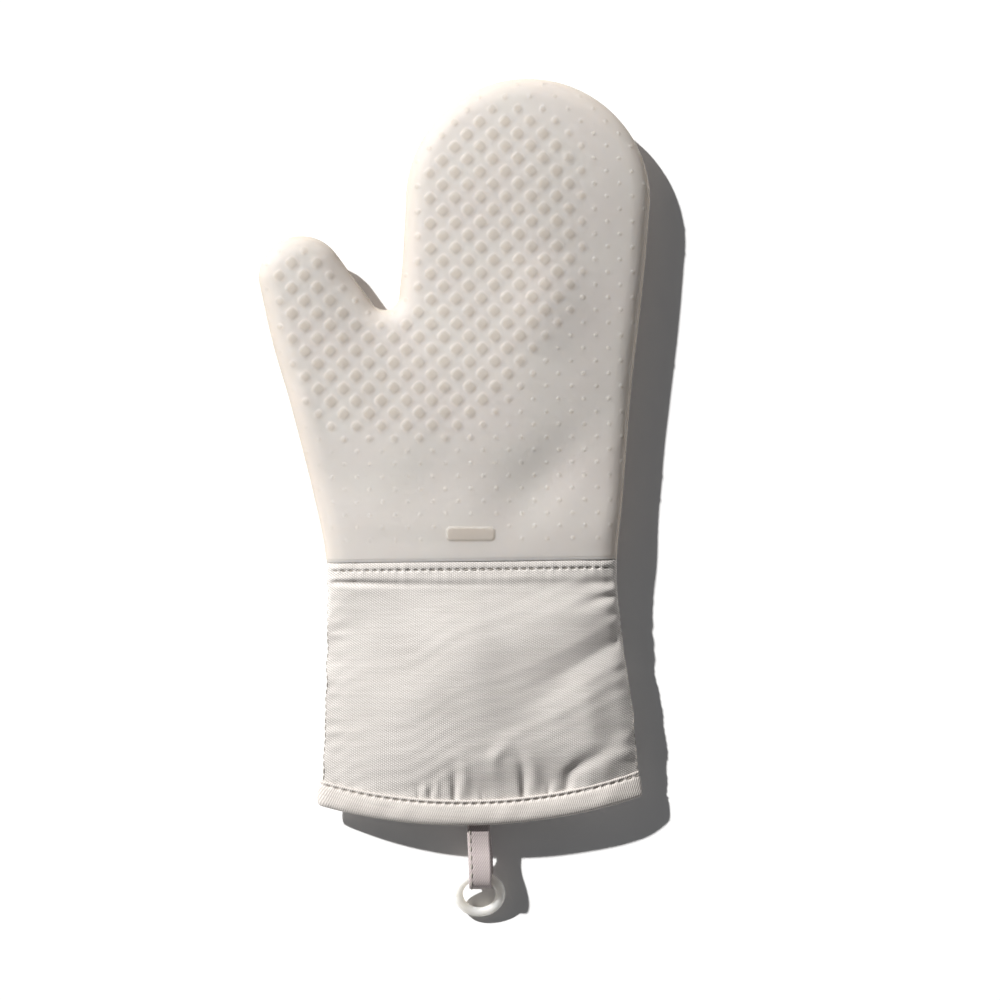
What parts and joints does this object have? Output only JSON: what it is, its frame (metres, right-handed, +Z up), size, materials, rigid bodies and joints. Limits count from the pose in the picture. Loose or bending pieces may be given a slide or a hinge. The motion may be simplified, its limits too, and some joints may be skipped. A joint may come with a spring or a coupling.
{
  "type": "oven mitt",
  "caption": "Oven mitt with a moulded silicone hand and thumb, a twill fabric cuff with a bound hem, a quilted lining, and a tape loop that holds a hanging ring.",
  "frame": {"origin": "bottom centre of the whole object's box, on the surface that the mitt lies on", "axes": "+X across the hand, away from the thumb; +Y from the hem to the fingertips; +Z up, out of the palm side"},
  "size_m": [0.1732, 0.3718, 0.0261],
  "materials": {
    "silicone": "satin moulded silicone with raised grip bumps",
    "cuff_fabric": "matte cotton twill",
    "binding_fabric": "matte bias-cut twill",
    "lining_fabric": "matte quilted cotton",
    "batting": "matte fibre wadding",
    "thread": "fine polyester thread",
    "tape_fabric": "matte twill tape",
    "ring_plastic": "smooth, slightly translucent moulded plastic"
  },
  "bodies": {
    "mitt": {"silicone_shell": "silicone", "batting_front": "batting", "batting_back": "batting", "lining_front": "lining_fabric", "lining_back": "lining_fabric", "cuff_front_panel": "cuff_fabric", "cuff_back_panel": "cuff_fabric", "hem_binding": "binding_fabric", "joint_stitch_thread": "thread", "hem_stitch_thread": "thread", "side_seam_thread_left": "thread", "side_seam_thread_right": "thread", "tape_sewn_end": "tape_fabric", "tape_bar_tack_thread": "thread"},
    "tape": {"hanging_tape": "tape_fabric", "tape_stitch_thread": "thread"},
    "ring": {"hanging_ring": "ring_plastic"}
  },
  "joints": [
    {"name": "tape_swing", "type": "hinge", "parent": "mitt", "child": "tape", "pos_m": [0.0109, -0.1456, 0.012], "axis": [-1, 0, 0], "range_deg": [-70, 85]},
    {"name": "ring_swing", "type": "hinge", "parent": "tape", "child": "ring", "pos_m": [0.011, -0.16642, 0.00929], "axis": [-1, 0, 0], "range_deg": [-45, 72]}
  ]
}
